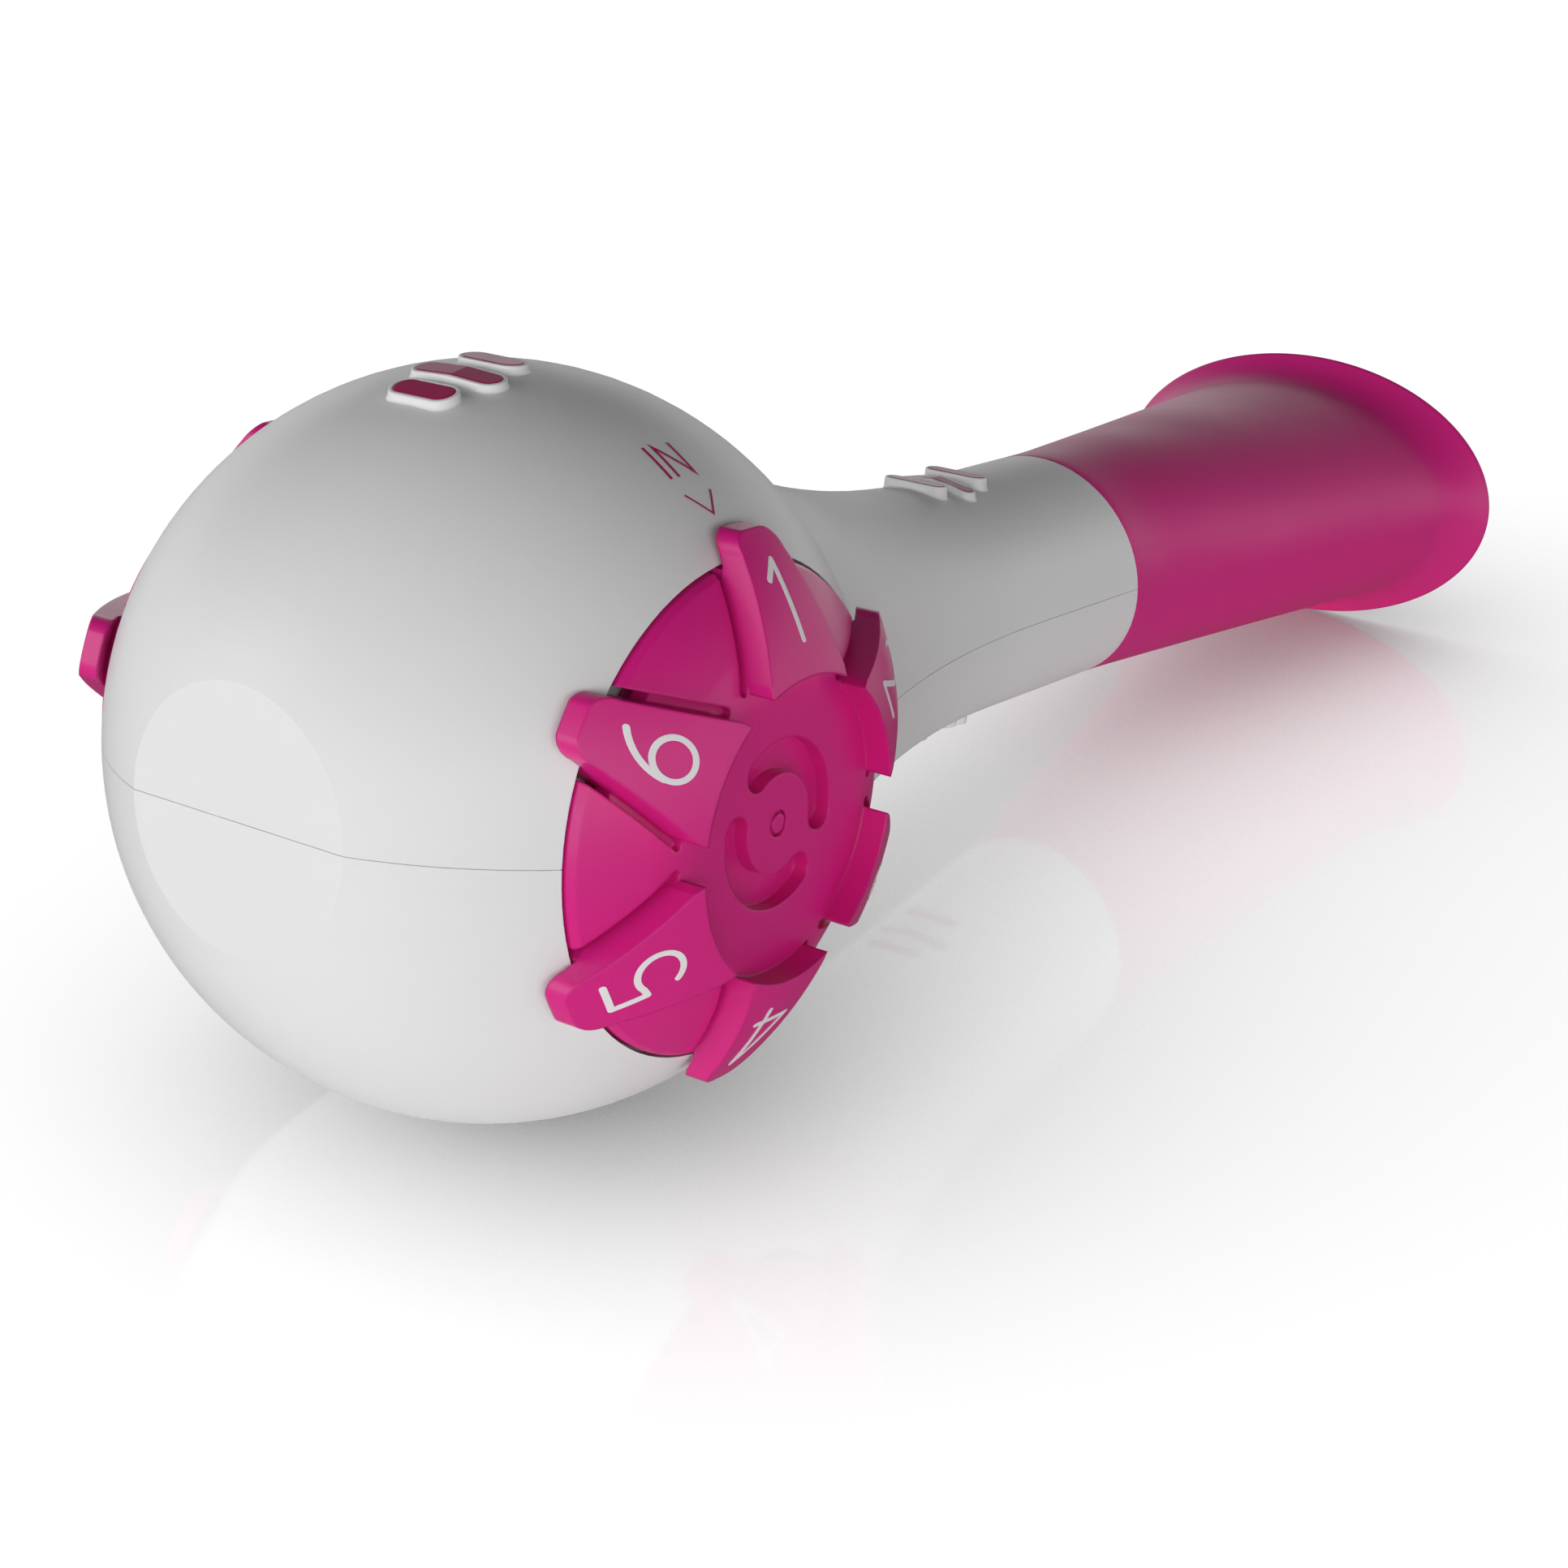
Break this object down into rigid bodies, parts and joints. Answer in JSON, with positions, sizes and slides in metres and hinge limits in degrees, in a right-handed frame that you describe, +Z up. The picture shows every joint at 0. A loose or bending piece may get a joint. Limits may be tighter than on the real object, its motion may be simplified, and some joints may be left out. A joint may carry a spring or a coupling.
{
  "type": "breathing trainer",
  "caption": "Hand-held breathing muscle trainer: ball housing with a graded resistance dial on each side, neck and oval flared mouthpiece.",
  "frame": {"origin": "bottom centre of the bounding box, on the floor under the part", "axes": "+Y along the length, from the ball to the mouthpiece; +X out of the inhale dial; +Z up. The part lies at rest, so its neck dips 6.18 degrees from +Y towards the floor"},
  "size_m": [0.06, 0.1744, 0.0606],
  "materials": {
    "shell_white": "satin moulded",
    "dial_magenta": "satin gloss moulded",
    "grip_magenta": "satin moulded",
    "mouthpiece_magenta": "soft satin moulded",
    "seal_rubber": "matt",
    "flap_silicone": "smooth",
    "print_white": "pad print"
  },
  "bodies": {
    "housing": {"upper_shell": "shell_white", "lower_shell": "shell_white", "neck_sleeve": "shell_white", "mouthpiece_seal": "seal_rubber", "ball_grip_top": "grip_magenta", "neck_grip_top": "grip_magenta", "neck_grip_bottom": "grip_magenta", "inhale_port_plate": "shell_white", "inhale_port_seal": "seal_rubber", "inhale_valve_cage": "shell_white", "exhale_port_plate": "shell_white", "exhale_port_seal": "seal_rubber", "exhale_valve_cage": "shell_white"},
    "inhale_dial_body": {"inhale_dial": "dial_magenta", "inhale_numerals": "print_white", "inhale_axle_pin": "dial_magenta", "inhale_orifice_disc": "dial_magenta"},
    "exhale_dial_body": {"exhale_dial": "dial_magenta", "exhale_numerals": "print_white", "exhale_axle_pin": "dial_magenta", "exhale_orifice_disc": "dial_magenta"},
    "inhale_flap_body": {"inhale_valve_flap": "flap_silicone"},
    "exhale_flap_body": {"exhale_valve_flap": "flap_silicone"},
    "mouthpiece_body": {"mouthpiece": "mouthpiece_magenta"}
  },
  "joints": [
    {"name": "inhale_dial_turn", "type": "hinge", "parent": "housing", "child": "inhale_dial_body", "pos_m": [0.0278, -0.05807, 0.03], "axis": [1, 0, 0], "continuous": true},
    {"name": "exhale_dial_turn", "type": "hinge", "parent": "housing", "child": "exhale_dial_body", "pos_m": [-0.0278, -0.05807, 0.03], "axis": [-1, 0, 0], "continuous": true},
    {"name": "inhale_flap_lift", "type": "slide", "parent": "housing", "child": "inhale_flap_body", "axis": [-1, 0, 0], "range_m": [0, 0.0015], "stiffness_N_per_m": 1},
    {"name": "exhale_flap_lift", "type": "slide", "parent": "housing", "child": "exhale_flap_body", "axis": [-1, 0, 0], "range_m": [0, 0.0015], "stiffness_N_per_m": 1},
    {"name": "mouthpiece_pull", "type": "slide", "parent": "housing", "child": "mouthpiece_body", "axis": [0, 0.9942, -0.1077], "range_m": [0, 0.014]}
  ]
}
